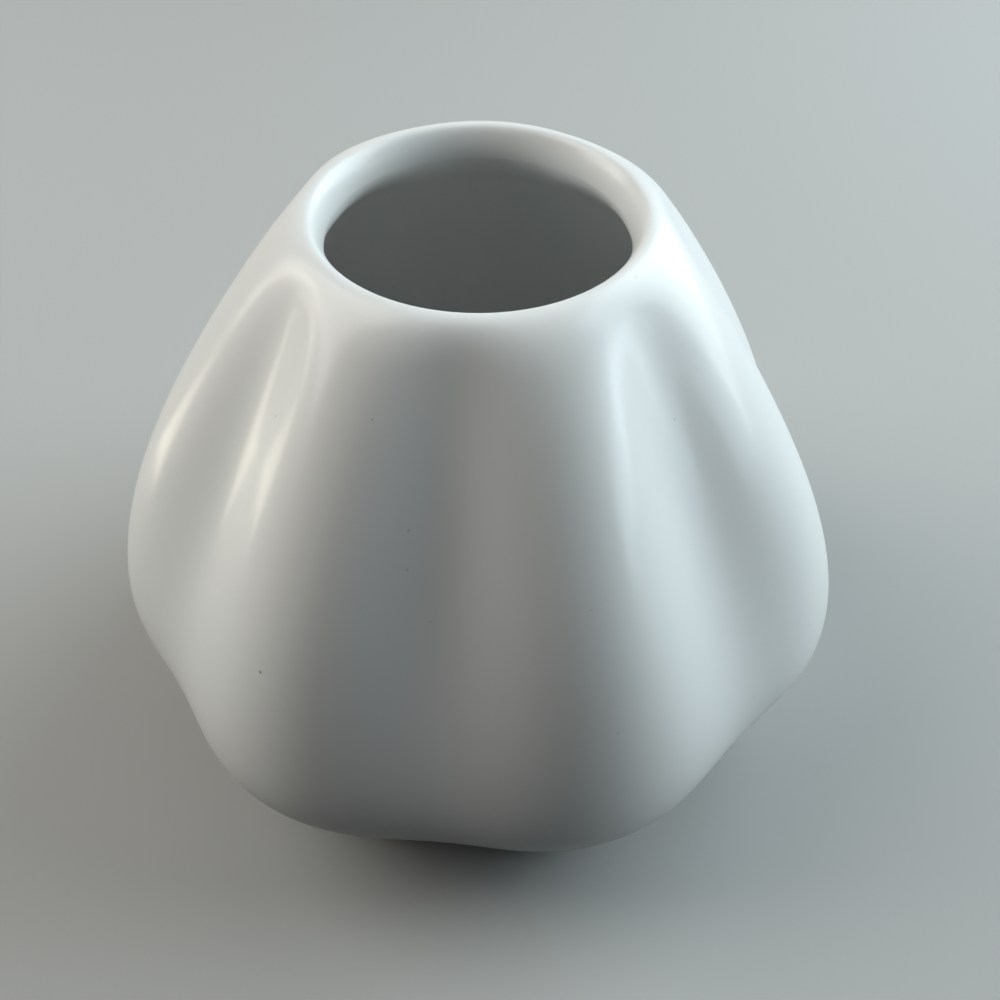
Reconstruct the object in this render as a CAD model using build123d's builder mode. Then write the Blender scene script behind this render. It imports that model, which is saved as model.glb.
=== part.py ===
"""A seven-lobed ceramic vase with a round mouth: its stoneware body and its coats of glaze.

Millimetres, +Z up. The origin is the centre of the foot ring, on the surface that the vase
stands on, and one lobe points along -Y, the front.
"""

import os
from math import cos, exp, pi, radians, sin

from build123d import *

# Lobes: one even wave round the wall
LOBES = 7
LOBE_DEPTH = 1.1  # half of the way from a crest in to a valley, at the heel
LOBE_SWELL = 1.6  # how much deeper that is where the wave is strongest
LOBE_SWELL_Z = 51.5
LOBE_SWELL_SPAN = 25.0
LOBE_FADE = 17  # power of the height by which the wave dies away: higher keeps it nearer the crown
LOBE_PUFF = 0.055  # share of a finer wave that rounds the crests and narrows the valleys
LOBE_INSIDE = 0.6  # share of the wave that shows on the inner wall
POINTS_PER_LOBE = 8

# Body: mean radii and heights of the fired clay, under its glaze
FOOT_R = 38.4
FOOT_RISE = 10.0  # degrees above level at which the curve leaves the flat foot ring
HEEL_R = 40.9
HEEL_Z = 2.4
HEEL_RISE = 68.0  # degrees above level at which the wall leaves the heel
BELLY_R = 52.1
BELLY_Z = 24.3
SHOULDER_R = 26.6
SHOULDER_Z = 78.6
SHOULDER_LEAN = 34.0  # degrees inwards from upright
CROWN_R = 21.05
CROWN_Z = 83.8
THROAT_R = 19.55
THROAT_Z = 80.2
THROAT_STEP = 0.25  # how far back from the throat the hollow's wall starts
THROAT_BORE = 1.6  # how far the throat's wall is carried on down, into the hollow
WALL = 4.2
FLOOR_R = 26.0
FLOOR_Z = 6.0

# How far each curve of the outline keeps to its own direction at its ends
FOOT_REACH = 1.6
HEEL_REACH_DOWN = 1.2
HEEL_REACH_UP = 8.9
BELLY_REACH_DOWN = 6.6
BELLY_REACH_UP = 13.1
SHOULDER_REACH_DOWN = 12.7
SHOULDER_REACH_UP = 2.0
CROWN_REACH_OUT = 2.1
CROWN_REACH_IN = 0.5
THROAT_REACH = 1.8
NECK_REACH_UP = 2.4
NECK_REACH_DOWN = 3.0
FLOOR_REACH_UP = 4.5
FLOOR_REACH_IN = 9.0

# Shares of a curve's length at which the inner wall leaves it for the throat and for the floor
FLANK_TO_THROAT = 0.93
BELLY_TO_FLOOR = 0.30

# Sections that the wall is lofted through, from each curve
FOOT_SECTIONS = 3
BELLY_SECTIONS = 5
FLANK_SECTIONS = 10
LIP_SECTIONS = 6
THROAT_SECTIONS = 5
NECK_SECTIONS = 3
FLOOR_SECTIONS = 4

# Underside and glaze
RECESS_R = 31.0
RECESS_DEPTH = 1.6
RECESS_EDGE = 0.6
GLAZE = 0.4


def lobe_wave(height):
    """Half depth of the lobes on the outer wall at a height."""
    swell = LOBE_SWELL * exp(-(((height - LOBE_SWELL_Z) / LOBE_SWELL_SPAN) ** 2))
    fade = max(0.0, 1 - (height / CROWN_Z) ** LOBE_FADE)
    return (LOBE_DEPTH + swell) * fade


def stations(curve, count, start=0.0, end=1.0, out=0.0, first_wave=1.0, last_wave=1.0):
    """Mean radius, height and lobe depth at even steps from start up to, but without, end.

    Out moves them to the right of the curve's way, which is out of the clay on the outline. The
    waves are the shares of the outer wall's lobes that show at the start and at the end.
    """
    found = []
    for step in range(count):
        part = step / count
        share = start + (end - start) * part
        point = curve @ share
        way = curve % share
        lobe = (first_wave + (last_wave - first_wave) * part) * lobe_wave(point.Y)
        found.append((point.X + out * way.Y, point.Y - out * way.X, lobe))
    return found


def section(radius, height, lobe):
    """A level slice of the vase, a circle with the lobes' wave on it, to loft through."""
    count = LOBES * POINTS_PER_LOBE
    turns = [2 * pi * step / count for step in range(count)]
    waves = [cos(LOBES * turn) - LOBE_PUFF * cos(2 * LOBES * turn) for turn in turns]
    reach = [radius + lobe * wave for wave in waves]
    points = [(r * sin(turn), -r * cos(turn)) for r, turn in zip(reach, turns)]
    with BuildSketch(Plane.XY.offset(height)) as level:
        with BuildLine():
            add(Edge.make_spline(points, periodic=True, parameters=turns + [2 * pi]))
        make_face()
    return level.sketch


# Half outline of the clay, as radius and height: up the outside, over the lip and into the throat
foot = Vector(FOOT_R, 0)
heel = Vector(HEEL_R, HEEL_Z)
belly = Vector(BELLY_R, BELLY_Z)
shoulder = Vector(SHOULDER_R, SHOULDER_Z)
crown = Vector(CROWN_R, CROWN_Z)
throat = Vector(THROAT_R, THROAT_Z)
foot_rise = Vector(cos(radians(FOOT_RISE)), sin(radians(FOOT_RISE)))
rise = Vector(cos(radians(HEEL_RISE)), sin(radians(HEEL_RISE)))
lean = Vector(-sin(radians(SHOULDER_LEAN)), cos(radians(SHOULDER_LEAN)))
upright = Vector(0, 1)
inwards = Vector(-1, 0)
with BuildLine():
    foot_curve = Bezier(foot, foot + foot_rise * FOOT_REACH, heel - rise * HEEL_REACH_DOWN, heel)
    belly_curve = Bezier(heel, heel + rise * HEEL_REACH_UP, belly - upright * BELLY_REACH_DOWN, belly)
    flank_curve = Bezier(
        belly, belly + upright * BELLY_REACH_UP, shoulder - lean * SHOULDER_REACH_DOWN, shoulder
    )
    lip_curve = Bezier(
        shoulder, shoulder + lean * SHOULDER_REACH_UP, crown - inwards * CROWN_REACH_OUT, crown
    )
    throat_curve = Bezier(
        crown, crown + inwards * CROWN_REACH_IN, throat + upright * THROAT_REACH, throat
    )

# The inner wall's turns, from the throat out under the lip and from the belly in to the floor
neck_start = throat - inwards * THROAT_STEP
neck_end = Vector(*stations(flank_curve, 1, FLANK_TO_THROAT, out=-WALL)[0][:2])
floor_start = Vector(*stations(belly_curve, 1, BELLY_TO_FLOOR, out=-WALL)[0][:2])
floor_end = Vector(FLOOR_R, FLOOR_Z)
with BuildLine():
    neck_curve = Bezier(
        neck_start,
        neck_start - upright * NECK_REACH_UP,
        neck_end + (flank_curve % FLANK_TO_THROAT) * NECK_REACH_DOWN,
        neck_end,
    )
    floor_curve = Bezier(
        floor_start,
        floor_start - (belly_curve % BELLY_TO_FLOOR) * FLOOR_REACH_UP,
        floor_end - inwards * FLOOR_REACH_IN,
        floor_end,
    )


def outside_stations(coat):
    """Stations from the heel up over the crown and down the throat, on a coat of this thickness."""
    on_belly = stations(belly_curve, BELLY_SECTIONS, out=coat)
    on_flank = stations(flank_curve, FLANK_SECTIONS, out=coat)
    on_lip = stations(lip_curve, LIP_SECTIONS, out=coat)
    on_throat = stations(throat_curve, THROAT_SECTIONS, out=coat, first_wave=0.0, last_wave=0.0)
    on_bore = [(THROAT_R - coat, THROAT_Z - drop, 0.0) for drop in (0.0, THROAT_BORE / 2, THROAT_BORE)]
    return on_belly + on_flank + on_lip + on_throat + on_bore


def inside_stations(coat):
    """Stations from the throat down to the floor inside, on a coat of this thickness."""
    on_neck = stations(neck_curve, NECK_SECTIONS, out=coat, first_wave=0.0, last_wave=LOBE_INSIDE)
    on_flank = stations(
        flank_curve, FLANK_SECTIONS, FLANK_TO_THROAT, 0.0, -WALL - coat, LOBE_INSIDE, LOBE_INSIDE
    )
    on_belly = stations(
        belly_curve, BELLY_SECTIONS, 1.0, BELLY_TO_FLOOR, -WALL - coat, LOBE_INSIDE, LOBE_INSIDE
    )
    on_floor = stations(floor_curve, FLOOR_SECTIONS, out=coat, first_wave=LOBE_INSIDE, last_wave=0.0)
    return on_neck + on_flank + on_belly + on_floor + [(FLOOR_R, FLOOR_Z + coat, 0.0)]


# The outside of the clay from the foot over the lip into the throat, and the hollow below the throat
with BuildPart() as full_form:
    full_stations = stations(foot_curve, FOOT_SECTIONS) + outside_stations(0.0)
    loft([section(*station) for station in full_stations])

with BuildPart() as hollow:
    loft([section(*station) for station in inside_stations(0.0)])

# Body: the full form without the hollow, and with a recess under the foot
with BuildPart() as clay_body:
    add(full_form.part)
    add(hollow.part, mode=Mode.SUBTRACT)
    with BuildSketch():
        Circle(RECESS_R)
    extrude(amount=RECESS_DEPTH, mode=Mode.SUBTRACT)
    recess_rim = clay_body.edges().filter_by(GeomType.CIRCLE).group_by(Axis.Z)[0]
    fillet(recess_rim, RECESS_EDGE)

# Outer coat of glaze: from the heel over the lip as far as the throat
with BuildPart() as outer_glaze:
    loft([section(*station) for station in outside_stations(GLAZE)])
    add(hollow.part, mode=Mode.SUBTRACT)
    add(full_form.part, mode=Mode.SUBTRACT)

# Inner coat: the skin of the hollow, from the throat down the wall and over the floor
with BuildPart() as inner_glaze:
    add(hollow.part)
    with BuildPart(mode=Mode.SUBTRACT):
        loft([section(*station) for station in inside_stations(GLAZE)])

# Glaze under the foot, on the roof of the recess
with BuildPart() as base_glaze:
    with BuildSketch(Plane.XY.offset(RECESS_DEPTH - GLAZE)):
        Circle(RECESS_R)
    extrude(amount=GLAZE)

pieces = {
    "clay_body": clay_body,
    "outer_glaze": outer_glaze,
    "inner_glaze": inner_glaze,
    "base_glaze": base_glaze,
}
os.makedirs("parts", exist_ok=True)
for name, piece in pieces.items():
    piece.part.label = name
    export_step(piece.part, f"parts/{name}.step")
    print(f"{name}: {piece.part.volume / 1000:.2f} cm3")
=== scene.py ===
# %% [markdown]
# # A seven-lobed white vase
# The real vase is one piece of fired clay with a satin white glaze over nearly all of it. The solid
# model that this script loads has the clay and each coat of glaze as a solid of its own. Here each of
# them gets a fine mesh in the same place, and a finish that has the small faults of real glaze.

from functools import partial

import bmesh
import bpy
import numpy as np
from mathutils import Matrix, Vector


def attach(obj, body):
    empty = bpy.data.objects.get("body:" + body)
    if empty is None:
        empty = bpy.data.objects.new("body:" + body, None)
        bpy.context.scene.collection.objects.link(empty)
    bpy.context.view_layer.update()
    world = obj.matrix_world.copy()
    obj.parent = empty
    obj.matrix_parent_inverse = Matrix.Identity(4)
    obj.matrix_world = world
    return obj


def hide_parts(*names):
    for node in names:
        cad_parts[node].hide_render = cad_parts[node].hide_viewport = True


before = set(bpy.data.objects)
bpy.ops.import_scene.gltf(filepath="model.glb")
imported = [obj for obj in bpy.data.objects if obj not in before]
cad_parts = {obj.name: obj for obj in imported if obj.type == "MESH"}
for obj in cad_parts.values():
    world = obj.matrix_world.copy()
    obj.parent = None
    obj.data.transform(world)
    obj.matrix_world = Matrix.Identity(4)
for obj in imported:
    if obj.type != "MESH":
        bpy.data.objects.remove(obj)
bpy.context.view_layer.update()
MM = 0.001
print("nodes:", sorted(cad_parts))

# %% [markdown]
# ## The half outline
# A cast vase is known by its half outline: radius against height. It could be drawn as one free
# spline, but a chain of cubic Bezier curves is easier to steer. Each curve runs between two places
# that a potter would name, such as heel and belly, and its two reaches say how far it keeps to its
# own direction at each end. All sizes are those of the clay, in millimetres.

# %% Places on the outline
FOOT = np.array((38.4, 0.0))
HEEL = np.array((40.9, 2.4))
BELLY = np.array((52.1, 24.3))
SHOULDER = np.array((26.6, 78.6))
CROWN = np.array((21.05, 83.8))
THROAT = np.array((19.55, 80.2))


def heading(degrees):
    """The unit direction at an angle above level, where level is straight out from the axis."""
    return np.array((np.cos(np.radians(degrees)), np.sin(np.radians(degrees))))


OUT, UP = heading(0.0), heading(90.0)
FOOT_RISE, HEEL_RISE, SHOULDER_LEAN = heading(10.0), heading(68.0), heading(124.0)
print("the clay's crown is", CROWN[1], "mm up, and its belly", 2 * BELLY[0], "mm across")


# %% Curves of the outline
def bezier(start, start_reach, end_reach, end, t):
    """Points and unit directions of a cubic Bezier curve at every t of an array, from 0 to 1.

    Point = (1-t)^3 start + 3 (1-t)^2 t (start + its reach) + 3 (1-t) t^2 (end - its reach) + t^3 end.
    """
    t = np.asarray(t)[..., None]
    a, b, c, d = start, start + start_reach, end - end_reach, end
    points = (1 - t) ** 3 * a + 3 * (1 - t) ** 2 * t * b + 3 * (1 - t) * t**2 * c + t**3 * d
    ways = (1 - t) ** 2 * (b - a) + 2 * (1 - t) * t * (c - b) + t**2 * (d - c)
    return points, ways / np.linalg.norm(ways, axis=-1, keepdims=True)


def even(count):
    """Even steps from 0 to 1, both ends included."""
    return np.linspace(0.0, 1.0, count)


foot_curve = partial(bezier, FOOT, 1.6 * FOOT_RISE, 1.2 * HEEL_RISE, HEEL)
belly_curve = partial(bezier, HEEL, 8.9 * HEEL_RISE, 6.6 * UP, BELLY)
flank_curve = partial(bezier, BELLY, 13.1 * UP, 12.7 * SHOULDER_LEAN, SHOULDER)
lip_curve = partial(bezier, SHOULDER, 2.0 * SHOULDER_LEAN, -2.1 * OUT, CROWN)
throat_curve = partial(bezier, CROWN, -0.5 * OUT, -1.8 * UP, THROAT)
print("halfway up the flank the wall is at", flank_curve(0.5)[0].round(1), "mm")

# %% [markdown]
# ## The lobes
# Seven soft lobes run up the wall like the pleats of a gathered bag. They could be sculpted one by
# one, but they are so even that one cosine wave round the axis gives them all, with a finer wave on it
# that rounds the crests and narrows the valleys. Its depth swells on the flank and dies away over the
# lip, so the mouth is round.

# %% Depth of the lobes
LOBES = 7
LOBE_DEPTH, LOBE_SWELL, LOBE_SWELL_Z, LOBE_SWELL_SPAN = 1.1, 1.6, 51.5, 25.0
LOBE_FADE = 17
LOBE_PUFF = 0.055
LOBE_INSIDE = 0.6


def lobe_wave(height):
    """Half depth of the wave: a steady part and a bell-shaped swell, times a fade to 0 at the crown."""
    swell = LOBE_SWELL * np.exp(-(((height - LOBE_SWELL_Z) / LOBE_SWELL_SPAN) ** 2))
    fade = np.clip(1 - (height / CROWN[1]) ** LOBE_FADE, 0, 1)
    return (LOBE_DEPTH + swell) * fade


def lobes(turn):
    """The wave round the axis: cos 7a less a share of cos 14a, near 1 on a crest and -1 in a valley."""
    return np.cos(LOBES * turn) - LOBE_PUFF * np.cos(2 * LOBES * turn)


def rings(curve, out=0.0, first_wave=1.0, last_wave=1.0):
    """Radius, height and wave depth along a sampled curve, moved out to the right of its way.

    The two waves are the shares of the outer wall's lobes at the curve's start and at its end.
    """
    points, ways = curve
    moved = points + np.asarray(out)[..., None] * np.stack((ways[..., 1], -ways[..., 0]), axis=-1)
    share = np.linspace(first_wave, last_wave, len(points))
    depth = (share * lobe_wave(points[..., 1]).T).T
    return np.concatenate((moved, depth[..., None]), axis=-1)


heights = np.array((10.0, 50.0, 80.0))
print("half depth of the lobes at", heights, "mm up:", lobe_wave(heights).round(2), "mm")

# %% [markdown]
# ## The inner wall
# Slip casting leaves a wall of nearly the same thickness everywhere, so the inside could be a
# Solidify modifier on the outside. The vase turns too sharply for that under the lip and round the
# floor, so the inside is the outside moved in by the wall, with two short curves of its own.

# %% Inside of the clay
WALL = 4.2
FLOOR = np.array((26.0, 6.0))
FLANK_TO_THROAT, BELLY_TO_FLOOR = 0.93, 0.30
FINE_STEPS = 200


def inner_stretch(curve, start, end, count):
    """Part of a curve between two shares of its length, run back down it and moved in by the wall."""
    points, ways = curve(even(FINE_STEPS))
    run = np.append(0.0, np.cumsum(np.linalg.norm(np.diff(points, axis=0), axis=1)))
    place = np.linspace(start, end, count) * run[-1]
    x, y, way_x, way_y = (np.interp(place, run, column) for column in (*points.T, *ways.T))
    ways = -np.stack((way_x, way_y), axis=1)
    return np.stack((x - WALL * way_y, y + WALL * way_x), axis=1), ways


inner_flank = inner_stretch(flank_curve, FLANK_TO_THROAT, 0.0, 60)
inner_belly = inner_stretch(belly_curve, 1.0, BELLY_TO_FLOOR, 28)
neck_curve = partial(bezier, THROAT, -2.4 * UP, 3.0 * inner_flank[1][0], inner_flank[0][0])
floor_curve = partial(bezier, inner_belly[0][-1], 4.5 * inner_belly[1][-1], -9.0 * OUT, FLOOR)


def spoke(height, start, end, count=8):
    """Level rings with no wave, from one radius to another."""
    return np.column_stack((np.linspace(start, end, count), np.full(count, height), np.zeros(count)))


def inside(coat):
    """Rings from the throat down the wall to the middle of the floor, on a coat of this thickness."""
    on_neck = rings(neck_curve(even(16)), coat, 0.0, LOBE_INSIDE)
    on_flank = rings(inner_flank, coat, LOBE_INSIDE, LOBE_INSIDE)
    on_belly = rings(inner_belly, coat, LOBE_INSIDE, LOBE_INSIDE)
    on_floor = rings(floor_curve(even(20)), coat, LOBE_INSIDE, 0.0)
    middle = spoke(FLOOR[1] + coat, FLOOR[0], 0.0)
    return np.vstack((on_neck[:-1], on_flank[:-1], on_belly[:-1], on_floor[:-1], middle))


bare_inside = inside(0.0)
print("inside of the clay:", len(bare_inside), "rings, widest", 2 * bare_inside[:, 0].max().round(1), "mm")

# %% [markdown]
# ## From rings to a mesh
# A ring is a radius, a height and a wave depth. Carrying the rings round the axis gives a grid of
# points, and neighbouring rings and columns make its faces. The Spin tool could do it for a plain
# round shape, but it can't add a wave, and whole arrays are quicker. A ring of radius 0 closes
# to a single point, and a loop of rings closes on itself, so each piece is a closed skin.

# %% Carry rings round the axis
COLUMNS = LOBES * 44
TURN = np.linspace(0.0, 2 * np.pi, COLUMNS, endpoint=False)
SHARPEST_SMOOTH = np.radians(50.0)
CLOSE = 1e-7


def carry_round(name, profile, loop=False):
    """Closed mesh of point = (r sin a, -r cos a, z) at even turns a, where r = R + w lobes(a).

    R, z and w are a ring's radius, height and wave depth, the same all round or one for each turn.
    The rings go up the outside and down the inside, which turns the faces out of the piece.
    """
    around = profile if profile.ndim == 3 else profile[:, None]
    radius, height, wave = np.moveaxis(around, -1, 0)
    reach = radius + wave * lobes(TURN)
    places = np.broadcast_arrays(reach * np.sin(TURN), -reach * np.cos(TURN), height)
    grid = np.stack(places, axis=-1) * MM
    ids = np.arange(len(profile) * COLUMNS).reshape(-1, COLUMNS)
    low, high = (ids, np.roll(ids, -1, axis=0)) if loop else (ids[:-1], ids[1:])
    quads = np.stack((low, np.roll(low, -1, axis=1), np.roll(high, -1, axis=1), high), axis=-1)
    mesh = bpy.data.meshes.new(name)
    mesh.from_pydata(grid.reshape(-1, 3), [], quads.reshape(-1, 4).tolist())
    crest = mesh.attributes.new("crest", "FLOAT", "POINT")
    crest.data.foreach_set("value", np.tile(np.cos(LOBES * TURN), len(profile)))
    close_poles(mesh)
    mesh.shade_smooth()
    mesh.set_sharp_from_angle(angle=SHARPEST_SMOOTH)
    piece = bpy.data.objects.new(name, mesh)
    bpy.context.scene.collection.objects.link(piece)
    print(name, "has", len(mesh.polygons), "faces")
    return piece


def close_poles(mesh):
    """Merges points that meet, such as a ring that has closed to the axis, and drops empty faces."""
    work = bmesh.new()
    work.from_mesh(mesh)
    bmesh.ops.remove_doubles(work, verts=work.verts, dist=CLOSE)
    work.to_mesh(mesh)
    work.free()


# %% [markdown]
# ## The clay body
# Bare clay shows only on the foot ring, where glaze would stick to the kiln shelf. A ring alone would
# do for the eye, but the glaze needs something to lie on, so the whole body is one closed skin: from
# the middle of the recess under the foot, out over the foot ring, up the outside, over the lip, and
# down to the middle of the floor inside.

# %% Make the clay body
RECESS_R, RECESS_DEPTH, RECESS_EDGE = 31.0, 1.6, 0.6
rim_start = np.array((RECESS_R, RECESS_EDGE))
rim_end = np.array((RECESS_R + RECESS_EDGE, 0.0))
QUARTER_ROUND = 0.55  # reach of a quarter round, in radii
rim_reach = QUARTER_ROUND * RECESS_EDGE
recess_rim = bezier(rim_start, -rim_reach * UP, rim_reach * OUT, rim_end, even(6))
bare_skin = (
    spoke(RECESS_DEPTH, 0.0, RECESS_R),
    rings(recess_rim, 0.0, 0.0, 0.0),
    rings(foot_curve(even(12)))[:-1],
    rings(belly_curve(even(40)))[:-1],
    rings(flank_curve(even(70)))[:-1],
    rings(lip_curve(even(20)))[:-1],
    rings(throat_curve(even(16)), 0.0, 0.0, 0.0)[:-1],
    bare_inside,
)
clay_body = carry_round("clay_body_skin", np.vstack(bare_skin))

# %% [markdown]
# ## The edge of the glaze
# The potter wipes the foot clean before the glaze firing, so the outer coat ends in a line that wavers
# a little, and as it melts the glaze draws up into a small bead there. A bump map could hint at this,
# but from the side it is a real step. So the line's height is a sum of three slow waves round the foot,
# and the coat's thickness starts from nothing, rounds over and swells before it settles.

# %% Shape of the edge
GLAZE = 0.4
EDGE_START, EDGE_WAVER = 0.020, 0.012
EDGE_WAVES = ((3, 0.7, 0.5), (8, 2.1, 0.3), (19, 4.0, 0.2))
NOSE = 0.45
BEAD, BEAD_UP, BEAD_SPAN = 0.35, 0.8, 0.6
CLIMB_POWER = 1.6

line = sum(share * np.cos(count * TURN + start) for count, start, share in EDGE_WAVES)
edge = EDGE_START + EDGE_WAVER * line
climb = (even(56) ** CLIMB_POWER)[:, None]
wiped_belly = belly_curve(edge + (1 - edge) * climb)


def coat_thickness(points):
    """Thickness above the edge: a quarter round of the nose's length, with a bell-shaped bead over it."""
    steps = np.linalg.norm(np.diff(points, axis=0), axis=-1)
    run = np.vstack((np.zeros(COLUMNS), np.cumsum(steps, axis=0)))
    nose = np.sqrt(1 - (1 - np.clip(run / NOSE, 0, 1)) ** 2)
    bead = BEAD * np.exp(-(((run - BEAD_UP) / BEAD_SPAN) ** 2))
    return GLAZE * nose * (1 + bead)


coat = coat_thickness(wiped_belly[0])
edge_heights = wiped_belly[0][0, :, 1]
print("the glaze starts", edge_heights.min().round(2), "to", edge_heights.max().round(2), "mm up")
print("its bead is", coat.max().round(2), "mm thick")

# %% [markdown]
# ## The outer coat
# From its edge the satin white coat covers the wall and laps over the lip into the throat. It is as
# thick as a thumbnail. Its skin goes up the glazed side and comes back down along the clay, where no
# one sees it, with half as many rings.


# %% Make the outer coat
def all_round(profile):
    """The same rings repeated at every turn."""
    return np.repeat(profile[:, None], COLUMNS, axis=1)


glazed = (
    rings(wiped_belly, coat)[:-1],
    all_round(rings(flank_curve(even(70)), GLAZE)[:-1]),
    all_round(rings(lip_curve(even(24)), GLAZE)[:-1]),
    all_round(rings(throat_curve(even(20)), GLAZE, 0.0, 0.0)),
)
against_clay = (
    rings(wiped_belly)[:-1:2],
    all_round(rings(flank_curve(even(35)))[:-1]),
    all_round(rings(lip_curve(even(10)))[:-1]),
    all_round(rings(throat_curve(even(10)), 0.0, 0.0, 0.0)),
)
outer_skin = np.vstack((*glazed, np.vstack(against_clay)[::-1]))
outer_glaze = carry_round("outer_glaze_skin", outer_skin, loop=True)

# %% [markdown]
# ## The inner coat
# Inside, the glaze makes the clay hold water. It could be left out, as little of it shows, but a look
# straight down the mouth sees the floor. Its coat runs from the throat down the wall and over the
# floor, and its skin comes back along the clay.

# %% Make the inner coat
inner_glaze = carry_round("inner_glaze_skin", np.vstack((bare_inside[::-1], inside(GLAZE))))

# %% [markdown]
# ## The glaze under the foot
# The recess under the foot is glazed too, because it never touches the shelf. A flat disc would look
# like a sticker, so the coat curls down where it meets the recess's wall, as melted glaze does: over
# the last stretch its drop is a quarter ellipse.

# %% Make the coat under the foot
CURL_WIDE, CURL_DEEP = 1.2, 0.45
quarter = 0.5 * np.pi * even(10)
curl = np.column_stack(
    (
        RECESS_R - CURL_WIDE * (1 - np.sin(quarter)),
        RECESS_DEPTH - GLAZE - CURL_DEEP * (1 - np.cos(quarter)),
        np.zeros(len(quarter)),
    )
)
flat = spoke(RECESS_DEPTH - GLAZE, 0.0, RECESS_R - CURL_WIDE)[:-1]
base_glaze = carry_round("base_glaze_skin", np.vstack((flat, curl, spoke(RECESS_DEPTH, RECESS_R, 0.0))))

# %% [markdown]
# ## Shader maths in Python
# A node tree drawn by hand soon gets hard to read. So one small class stands for a socket: sums on it
# add Math nodes, and one method makes any other node. A finish then reads like a recipe.


# %% A socket with arithmetic
class Wire:
    """One output socket of a node tree."""

    def __init__(self, tree, socket=None):
        self.tree = tree
        self.socket = socket

    def node(self, kind, inputs, output=0, **settings):
        """Adds a node: its settings first, then its inputs by name or number, each a value or a wire."""
        made = self.tree.nodes.new(kind)
        for name, setting in settings.items():
            setattr(made, name, setting)
        for name, value in inputs.items():
            if isinstance(value, Wire):
                self.tree.links.new(value.socket, made.inputs[name])
            else:
                made.inputs[name].default_value = value
        return Wire(self.tree, made.outputs[output])

    def maths(self, operation, first, second):
        return self.node("ShaderNodeMath", {0: first, 1: second}, operation=operation)

    def __add__(self, other):
        return self.maths("ADD", self, other)

    __radd__ = __add__

    def __sub__(self, other):
        return self.maths("SUBTRACT", self, other)

    def __rsub__(self, other):
        return self.maths("SUBTRACT", other, self)

    def __mul__(self, other):
        return self.maths("MULTIPLY", self, other)

    __rmul__ = __mul__

    def most(self, other):
        return self.maths("MAXIMUM", self, other)

    def ease(self, low, high):
        """0 below low and 1 above high, with a smooth step between."""
        inputs = {"Value": self, "From Min": low, "From Max": high}
        return self.node("ShaderNodeMapRange", inputs, interpolation_type="SMOOTHSTEP")

    def noise(self, size, detail=2.0):
        """Cloudy values round 0.5, with patches of this size in millimetres."""
        inputs = {"Vector": self, "Scale": 1.0 / (size * MM), "Detail": detail}
        return self.node("ShaderNodeTexNoise", inputs)

    def away_from(self, point):
        """Distance of a place from a point, in metres."""
        return self.node("ShaderNodeVectorMath", {0: self, 1: point}, "Value", operation="DISTANCE")


sums = [name for name in vars(Wire) if name.endswith(("add__", "sub__", "mul__"))]
print("sums that a socket takes:", sums)


# %% Helpers for a finish
def mix(factor, first, second):
    """First colour where the factor is 0 and second where it is 1."""
    inputs = {"Factor": factor, 6: first, 7: second}
    return factor.node("ShaderNodeMix", inputs, output=2, data_type="RGBA")


def start_finish(name):
    """A new material, its shader node, and a wire with its Object coordinates."""
    material = bpy.data.materials.new(name)
    material.use_nodes = True
    shader = material.node_tree.nodes["Principled BSDF"]
    place = Wire(material.node_tree).node("ShaderNodeTexCoord", {}, output="Object")
    return material, shader, place


def feed(shader, name, wire):
    """Links a wire to one of the shader's sockets."""
    wire.tree.links.new(wire.socket, shader.inputs[name])


print("a finish starts from Object coordinates, because every piece sits at the origin")

# %% [markdown]
# ## Specks and pinholes
# Iron in the clay burns through a white glaze as small brown specks, and gas leaves pinholes. A noise
# texture alone would scatter them anywhere, so the few that stand out are listed one by one, each by its
# turn from the front and its height, and a sparse cell texture adds the strays. Each speck is a spot
# round a point on the glazed wall.

# %% Where the specks are
WALL_RINGS = rings(flank_curve(even(70)), GLAZE)
SPECKS = (
    (-53.1, 45.0, 0.17, 1.0),
    (-68.3, 69.4, 0.15, 0.40),
    (-42.6, 74.9, 0.15, 0.30),
    (-33.0, 63.4, 0.18, 0.25),
    (-32.6, 59.1, 0.16, 0.25),
    (-28.1, 52.9, 0.18, 0.22),
    (28.4, 68.6, 0.15, 0.28),
)
STRAY_APART, STRAY_SIZE, STRAY_SHADE = 9.0, 0.16, 0.2
SPECK_FULL, SPECK_GONE = 0.5, 1.5


def on_wall(degrees, height):
    """The point of the glazed flank at a turn from the front and a height, in metres."""
    turn = np.radians(degrees)
    radius, wave = (np.interp(height, WALL_RINGS[:, 1], WALL_RINGS[:, k]) for k in (0, 2))
    reach = radius + wave * lobes(turn)
    return MM * np.array((reach * np.sin(turn), -reach * np.cos(turn), height))


def specks(place):
    """Shade of the strongest speck at a place: full inside half its size, gone at one and a half."""
    cells = {"Vector": place, "Scale": 1.0 / (STRAY_APART * MM)}
    stray = place.node("ShaderNodeTexVoronoi", cells, output="Distance")
    near = STRAY_SIZE / STRAY_APART
    shade = (1 - stray.ease(SPECK_FULL * near, SPECK_GONE * near)) * STRAY_SHADE
    for turn, height, size, strength in SPECKS:
        away = place.away_from(on_wall(turn, height))
        spot = 1 - away.ease(SPECK_FULL * size * MM, SPECK_GONE * size * MM)
        shade = shade.most(spot * strength)
    return shade


print(len(SPECKS), "specks placed by hand, the first at", (on_wall(*SPECKS[0][:2]) / MM).round(1), "mm")

# %% [markdown]
# ## Satin white glaze
# Satin glaze scatters light from tiny crystals, so its gloss is soft and its white isn't flat: it is a
# little cloudy, and thinner and warmer on the crests. A single gloss looks like plastic, so a broad
# soft gloss has a faint sharper one over it, as the shader's coat. Slow swells in the bump make its
# highlights waver as they do on melted glass.

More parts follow.
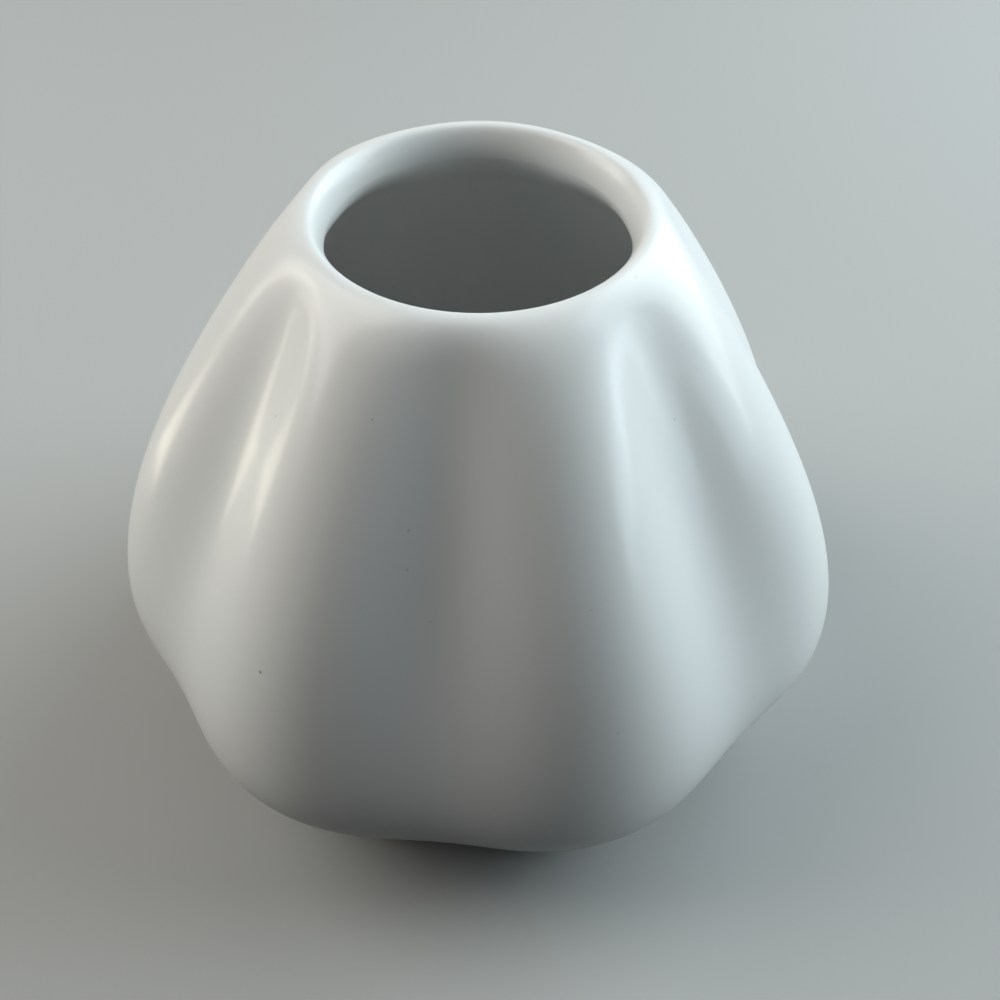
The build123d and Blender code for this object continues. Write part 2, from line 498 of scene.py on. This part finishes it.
# %% The glaze
WHITE = (0.80, 0.805, 0.795, 1.0)
THIN_WHITE = (0.80, 0.785, 0.75, 1.0)
SPECK = (0.20, 0.16, 0.13, 1.0)
CLOUD_SIZE, CLOUD_DETAIL, GRAIN_SIZE, SWELL_SIZE = 24.0, 3.0, 0.7, 7.0
THIN_SHARE = 0.5
CLOUD_GLOSS, GRAIN_GLOSS = 0.12, 0.06
COAT_WEIGHT, COAT_ROUGHNESS = 0.24, 0.12
SWELL_HEIGHT, GRAIN_HEIGHT, SPOT_DEPTH = 0.6, 0.05, 0.8
SWELL_STRENGTH, SWELL_DEPTH = 0.25, 0.06
OUTER_ROUGHNESS, LINER_ROUGHNESS = 0.34, 0.36


def satin_glaze(name, roughness):
    """Cloudy white with a soft gloss of this mean roughness, specks, and slow swells."""
    material, shader, place = start_finish(name)
    clouds = place.noise(CLOUD_SIZE, CLOUD_DETAIL)
    grain = place.noise(GRAIN_SIZE)
    crest = place.node("ShaderNodeAttribute", {}, output="Fac", attribute_name="crest")
    thin = crest.ease(0.2, 1.0) * THIN_SHARE * clouds.ease(0.3, 0.7)
    spots = specks(place)
    feed(shader, "Base Color", mix(spots, mix(thin, WHITE, THIN_WHITE), SPECK))
    feed(shader, "Roughness", (clouds - 0.5) * CLOUD_GLOSS + (grain - 0.5) * GRAIN_GLOSS + roughness)
    shader.inputs["Coat Weight"].default_value = COAT_WEIGHT
    shader.inputs["Coat Roughness"].default_value = COAT_ROUGHNESS
    swell = place.noise(SWELL_SIZE) * SWELL_HEIGHT + grain * GRAIN_HEIGHT - spots * SPOT_DEPTH
    bump = {"Height": swell, "Strength": SWELL_STRENGTH, "Distance": SWELL_DEPTH * MM}
    feed(shader, "Normal", place.node("ShaderNodeBump", bump))
    print(name, "has", len(material.node_tree.nodes), "nodes")
    return material


outer_finish = satin_glaze("satin_white_glaze", OUTER_ROUGHNESS)
liner_finish = satin_glaze("satin_white_liner", LINER_ROUGHNESS)

# %% [markdown]
# ## Bare clay
# The foot ring is unglazed stoneware: buff, dry to the touch and gritty, and toasted a little darker
# where the glaze ends. One fine noise gives the grit its colour, its roughness and its bump, which
# keeps the three in step, and the height above the shelf gives the toasting.

# %% The clay
CLAY = (0.66, 0.60, 0.51, 1.0)
GRIT = (0.52, 0.46, 0.38, 1.0)
TOASTED = (0.50, 0.38, 0.27, 1.0)
TOAST_FROM, TOAST_TO, TOAST_SHARE = 0.8, 3.2, 0.7
GRIT_SIZE, GRIT_DETAIL = 0.5, 4.0
CLAY_ROUGHNESS, GRIT_ROUGHNESS = 0.75, 0.2
GRIT_STRENGTH, GRIT_DEPTH = 0.5, 0.1


def bare_clay(name):
    """Buff clay with a gritty surface, warmer towards the glaze line."""
    material, shader, place = start_finish(name)
    grit = place.noise(GRIT_SIZE, GRIT_DETAIL)
    height = place.node("ShaderNodeSeparateXYZ", {0: place}, output="Z")
    toast = height.ease(TOAST_FROM * MM, TOAST_TO * MM) * TOAST_SHARE
    feed(shader, "Base Color", mix(toast, mix(grit.ease(0.35, 0.75), CLAY, GRIT), TOASTED))
    feed(shader, "Roughness", grit * GRIT_ROUGHNESS + CLAY_ROUGHNESS)
    bump = {"Height": grit, "Strength": GRIT_STRENGTH, "Distance": GRIT_DEPTH * MM}
    feed(shader, "Normal", place.node("ShaderNodeBump", bump))
    print(name, "has", len(material.node_tree.nodes), "nodes")
    return material


clay_finish = bare_clay("bare_stoneware")

# %% [markdown]
# ## Hand the pieces over
# Each piece takes its finish, moves with the vase's one body, and stands in for the solid of the same
# layer. A dictionary could hold the same facts, but a short table of four rows reads more easily.

# %% Finish and place each piece
for piece, node, slot, finish in (
    (clay_body, "clay_body", "stoneware", clay_finish),
    (outer_glaze, "outer_glaze", "white_glaze", outer_finish),
    (inner_glaze, "inner_glaze", "liner_glaze", liner_finish),
    (base_glaze, "base_glaze", "liner_glaze", liner_finish),
):
    piece.data.materials.append(finish)
    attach(piece, "root")
    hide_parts(node)
    print(piece.name, "stands in for", node)

# %% [markdown]
# ## Floor and air
# The vase stands on a plain pale floor in plain pale air. A pale floor throws much light back up at a
# white vase and flattens its lobes, so the floor is pale to the camera and in reflections, and dim to
# light that only bounces. Further out the floor takes the air's own tone, so no horizon shows.


# %% Rays that see the pale tone
def seen(wire):
    """1 for rays from the camera, a mirror or a clear surface, and 0 for light that only bounces."""
    kinds = ("Is Camera Ray", "Is Glossy Ray", "Is Transmission Ray")
    camera_ray, glossy_ray, clear_ray = (wire.node("ShaderNodeLightPath", {}, kind) for kind in kinds)
    return camera_ray + glossy_ray + clear_ray


AIR_PALE = (0.44, 0.44, 0.44, 1.0)
AIR_DIM = (0.010, 0.011, 0.012, 1.0)
world = bpy.data.worlds.new("air")
world.use_nodes = True
background = world.node_tree.nodes["Background"]
feed(background, "Color", mix(seen(Wire(world.node_tree)), AIR_DIM, AIR_PALE))
bpy.context.scene.world = world
print("the air has", len(world.node_tree.nodes), "nodes")

# %% Floor
FLOOR_HALF = 3.0
FLOOR_PALE = (0.44, 0.44, 0.43, 1.0)
FLOOR_DIM = (0.03, 0.03, 0.03, 1.0)
BLACK = (0.0, 0.0, 0.0, 1.0)
FAR_FROM, FAR_TO = 0.20, 0.70
FLOOR_ROUGHNESS = 0.9
floor_mesh = bpy.data.meshes.new("floor")
corners = [(x * FLOOR_HALF, y * FLOOR_HALF, 0.0) for x, y in ((-1, -1), (1, -1), (1, 1), (-1, 1))]
floor_mesh.from_pydata(corners, [], [(0, 1, 2, 3)])
floor = bpy.data.objects.new("floor", floor_mesh)
bpy.context.scene.collection.objects.link(floor)
floor_finish, floor_shader, floor_place = start_finish("floor")
pale = seen(floor_place)
far = floor_place.away_from((0.0, 0.0, 0.0)).ease(FAR_FROM, FAR_TO)
feed(floor_shader, "Base Color", mix(pale * (1 - far), FLOOR_DIM, FLOOR_PALE))
feed(floor_shader, "Emission Color", mix(pale * far, BLACK, AIR_PALE))
floor_shader.inputs["Emission Strength"].default_value = 1.0
floor_shader.inputs["Roughness"].default_value = FLOOR_ROUGHNESS
floor_shader.inputs["Specular IOR Level"].default_value = 0.0
floor_mesh.materials.append(floor_finish)
print("floor", 2 * FLOOR_HALF, "m wide")

# %% [markdown]
# ## Lamps
# The vase is lit as in a plain room: a large cool window on the right with a little light low in front
# of it, a warmer window behind on the left, and a touch from overhead. Two narrow strips on the left,
# one upright and one of glare along the floor, draw the fine bright lines on the left lobes. Sun lamps
# would light the vase too, but their highlights are dots, and it is the windows' soft shapes in the
# glaze that show the lobes.

# %% Hang a lamp
AIM = Vector((0.0, 0.0, 42.0)) * MM
UPRIGHT = Vector((0.0, 0.0, 1.0))


def towards(azimuth, elevation):
    """The unit direction from the vase to an azimuth and an elevation, in degrees, 0 at the front."""
    a, e = np.radians(azimuth), np.radians(elevation)
    return Vector((np.sin(a) * np.cos(e), -np.cos(a) * np.cos(e), np.sin(e)))


def lamp(name, place, back, long_way, size, watts, colour):
    """An area lamp with its back and its long side turned the given ways, which no camera sees."""
    data = bpy.data.lights.new(name, "AREA")
    data.shape = "RECTANGLE"
    data.size, data.size_y = size
    data.color = colour
    data.energy = watts
    holder = bpy.data.objects.new(name, data)
    side = long_way.cross(back).normalized()
    turn = Matrix((side, back.cross(side), back)).transposed()
    holder.matrix_world = Matrix.Translation(place) @ turn.to_4x4()
    holder.visible_camera = False
    bpy.context.scene.collection.objects.link(holder)
    print(name, "gives", round(watts, 2), "W")


# %% [markdown]
# ### Windows and glare
# A window's level is how bright it makes a white card that faces it, which is easier to judge than
# watts. The glare is a narrow strip that lies on the floor and points away from the vase, and its level
# is how bright the strip itself is.

# %% Lamps
GLARE_GAP = 2 * MM


def window(name, azimuth, elevation, distance, size, level, colour):
    """A lamp that faces the vase, with level times pi squared times its distance squared, in watts."""
    way = towards(azimuth, elevation)
    lamp(name, AIM + distance * way, way, UPRIGHT, size, level * np.pi**2 * distance**2, colour)


def glare(name, azimuth, near, far, width, level, colour):
    """A lamp that lies face up on the floor, with level times pi times its area, in watts."""
    way = towards(azimuth, 0.0)
    place = 0.5 * (near + far) * way + GLARE_GAP * UPRIGHT
    lamp(name, place, -UPRIGHT, way, (width, far - near), level * np.pi * width * (far - near), colour)


window("right_window", 94.0, 29.0, 0.7, (0.76, 0.74), 1.62, (0.82, 0.95, 1.0))
window("right_low", 60.0, 4.0, 0.7, (0.34, 0.14), 0.12, (0.80, 0.95, 1.0))
window("left_window", -119.0, 39.0, 0.7, (0.48, 0.74), 0.80, (1.0, 0.99, 0.94))
window("left_strip", -126.5, 10.0, 0.7, (0.07, 0.24), 0.05, (1.0, 0.94, 0.78))
window("overhead", 150.0, 80.0, 0.8, (0.60, 0.60), 0.10, (1.0, 0.98, 0.98))
glare("floor_glare", -125.0, 0.17, 0.90, 0.042, 3.6, (1.0, 0.93, 0.74))

# %% [markdown]
# ## Camera
# The camera stands close, a hand's length from the vase, and looks down at it by some 44 degrees, which
# is why the mouth looks large and the foot small. It could aim with a Track To constraint, but the
# vase is a little off the middle of the frame, so a chain of turns sets it: round the vase, down, and
# then three small turns of its own.

# %% Camera
VIEW_AZIMUTH, VIEW_ELEVATION, VIEW_DISTANCE = -19.49, 44.12, 173.6 * MM
VIEW_TARGET = Vector((0.0, 0.0, 41.5)) * MM
TURN_RIGHT, TURN_UP, ROLL = 0.981, -1.934, -0.290
FOCAL = 1.1704  # in widths of the picture
camera_data = bpy.data.cameras.new("camera")
camera_data.sensor_width = 36.0
camera_data.lens = FOCAL * camera_data.sensor_width
camera_data.clip_start = 10 * MM
camera = bpy.data.objects.new("camera", camera_data)
camera_turns = (
    (VIEW_AZIMUTH, "Z"),
    (90.0 - VIEW_ELEVATION, "X"),
    (-TURN_RIGHT, "Y"),
    (TURN_UP, "X"),
    (ROLL, "Z"),
)
pose = Matrix.Translation(VIEW_TARGET + VIEW_DISTANCE * towards(VIEW_AZIMUTH, VIEW_ELEVATION))
for degrees, axis in camera_turns:
    pose = pose @ Matrix.Rotation(np.radians(degrees), 4, axis)
camera.matrix_world = pose
bpy.context.scene.collection.objects.link(camera)
bpy.context.scene.camera = camera
bpy.context.scene.view_settings.view_transform = "Standard"
print("camera at", [round(side / MM) for side in pose.translation], "mm")
